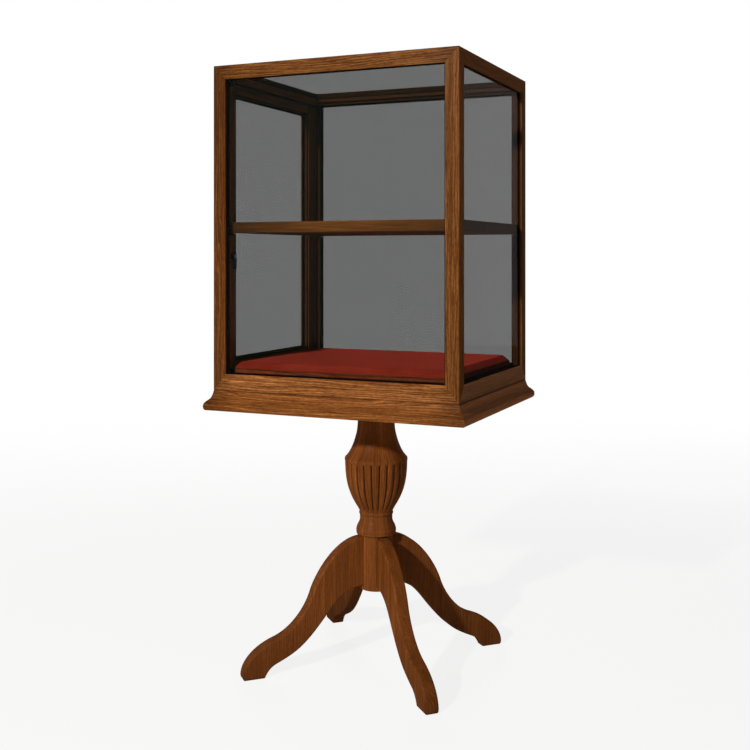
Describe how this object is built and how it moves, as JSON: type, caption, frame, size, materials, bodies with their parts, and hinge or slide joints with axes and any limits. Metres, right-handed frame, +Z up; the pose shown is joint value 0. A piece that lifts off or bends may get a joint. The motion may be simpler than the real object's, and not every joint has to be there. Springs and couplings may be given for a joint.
{
  "type": "pedestal display case",
  "caption": "Glazed wooden display case with a hinged, locking side door, a shelf and a padded velvet deck, on a turned and reeded column with splayed S-curved legs.",
  "frame": {"origin": "on the floor, under the column's axis", "axes": "+Z up, -Y towards the front glass, the door on the -X side"},
  "size_m": [0.647, 0.547, 1.438],
  "materials": {
    "stained_wood": "satin stained oak, vertical grain on posts and horizontal on rails",
    "plain_wood": "plain, unfinished",
    "glass": "polished, slightly grey",
    "seal": "matte black",
    "velvet": "short-pile velvet",
    "brass": "polished",
    "steel": "zinc-plated"
  },
  "bodies": {
    "case": {"post_front_left": "stained_wood", "post_front_right": "stained_wood", "post_back_left": "stained_wood", "post_back_right": "stained_wood", "top_rail_front": "stained_wood", "top_rail_back": "stained_wood", "top_rail_left": "stained_wood", "top_rail_right": "stained_wood", "bottom_rail_front": "stained_wood", "bottom_rail_back": "stained_wood", "bottom_rail_left": "stained_wood", "bottom_rail_right": "stained_wood", "base_moulding_front": "stained_wood", "base_moulding_back": "stained_wood", "base_moulding_left": "stained_wood", "base_moulding_right": "stained_wood", "frame_dowels": "plain_wood", "case_floor": "plain_wood", "deck_bearers": "plain_wood", "deck_board": "stained_wood", "display_pad": "velvet", "shelf": "stained_wood", "shelf_pins": "brass", "glass_front": "glass", "glass_right": "glass", "glass_back": "glass", "glass_top": "glass", "seal_front": "seal", "seal_right": "seal", "seal_back": "seal", "seal_top": "seal", "glazing_beads": "stained_wood", "door_stops": "stained_wood", "hinge_leaves_case": "brass", "hinge_pins": "brass", "hinge_screws_case": "brass", "mounting_block": "plain_wood", "column": "stained_wood", "leg_front_left": "stained_wood", "leg_front_right": "stained_wood", "leg_back_left": "stained_wood", "leg_back_right": "stained_wood", "leg_dowels": "plain_wood", "stand_bolts": "steel", "stand_nuts": "steel"},
    "door": {"door_stile_hinge": "stained_wood", "door_stile_lock": "stained_wood", "door_rail_top": "stained_wood", "door_rail_bottom": "stained_wood", "door_glass": "glass", "door_seal": "seal", "door_beads": "stained_wood", "hinge_leaves_door": "brass", "hinge_screws_door": "brass", "door_knob": "brass", "knob_screw": "steel", "lock_housing": "brass", "lock_nut": "brass"},
    "lock": {"lock_plug": "steel", "lock_cam": "steel"}
  },
  "joints": [
    {"name": "door_hinge", "type": "hinge", "parent": "case", "child": "door", "pos_m": [-0.3085, 0.22225, 1.06], "axis": [0, 0, -1], "range_deg": [0, 175]},
    {"name": "lock_turn", "type": "hinge", "parent": "door", "child": "lock", "pos_m": [-0.29, -0.202, 0.99], "axis": [-1, 0, 0], "range_deg": [0, 90]}
  ]
}
